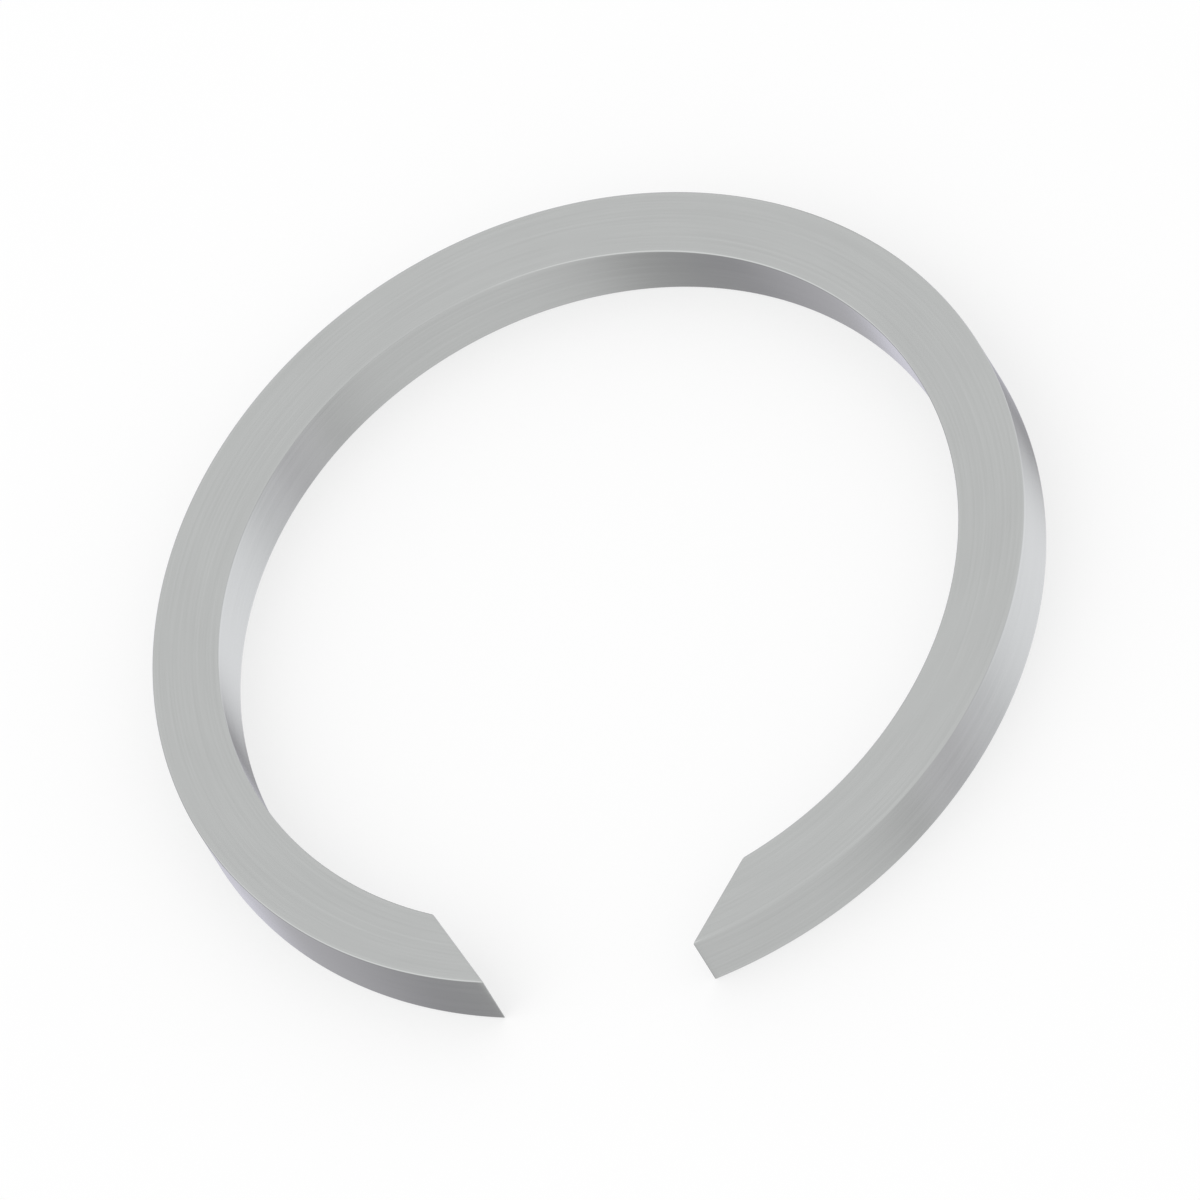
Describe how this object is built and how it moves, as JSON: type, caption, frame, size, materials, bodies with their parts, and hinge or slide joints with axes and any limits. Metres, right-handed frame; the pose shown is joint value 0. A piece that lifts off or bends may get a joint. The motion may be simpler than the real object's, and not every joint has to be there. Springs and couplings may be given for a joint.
{
  "type": "retaining ring",
  "caption": "External retaining ring of square spring-steel wire, with slanted ends that plier tips spread to spring it into a shaft groove.",
  "frame": {"origin": "centre of the ring's bore, on the plane of its underside; the gap takes the foremost 0.48 mm of the round outline away, so the middle of the outline's box lies 0.24 mm off it along Y", "axes": "+Z along the ring's axis, up from the underside; -Y through the middle of the gap between the ends; the ring is the same on both sides of the plane X = 0"},
  "size_m": [0.0328, 0.0325, 0.0025],
  "materials": {
    "spring_steel": "satin"
  },
  "bodies": {
    "root": {"retaining_ring": "spring_steel"}
  },
  "joints": []
}
